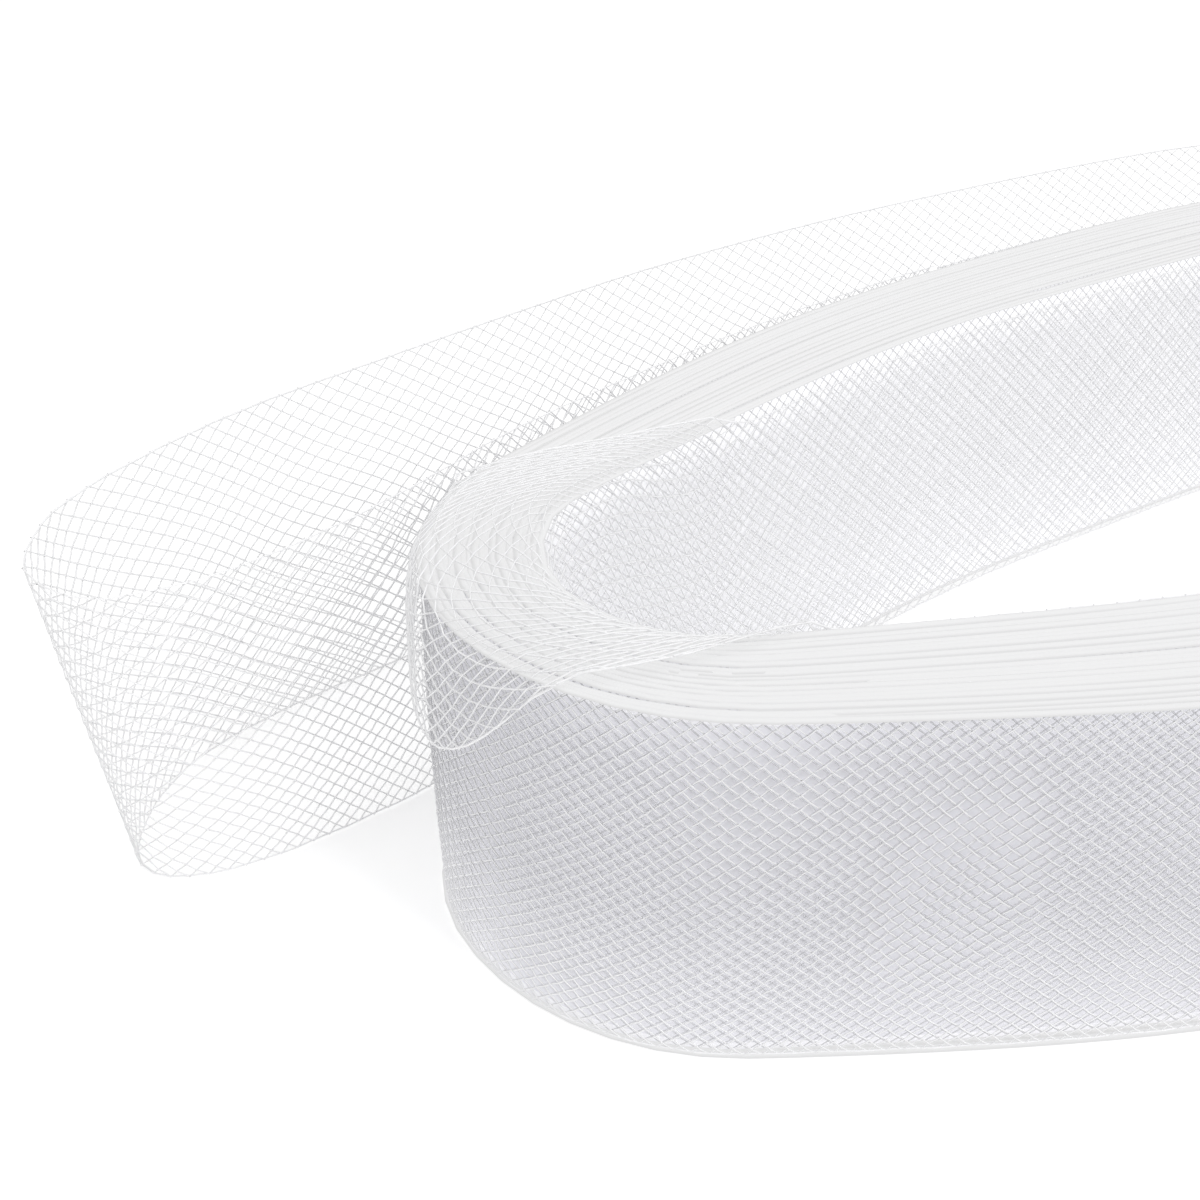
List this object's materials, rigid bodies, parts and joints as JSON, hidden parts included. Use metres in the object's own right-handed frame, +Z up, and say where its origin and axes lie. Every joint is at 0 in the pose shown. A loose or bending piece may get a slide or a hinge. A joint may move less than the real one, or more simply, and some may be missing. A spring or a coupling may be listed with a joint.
{
  "type": "roll of horsehair braid",
  "caption": "Open nylon mesh braid tape wound edge-up into a long flattened oval roll, its last turn sprung loose as a teardrop loop at one end.",
  "frame": {"origin": "middle of the whole footprint, on the surface that the lower selvages rest on", "axes": "+X along the roll, away from the teardrop loop; +Z up, across the width of the tape; the loose turn lies on the +Y side"},
  "size_m": [0.4308, 0.1866, 0.0504],
  "materials": {
    "wound_nylon": "satin",
    "single_nylon": "satin"
  },
  "bodies": {
    "root": {"wound_roll": "wound_nylon", "loose_turn": "single_nylon"}
  },
  "joints": []
}
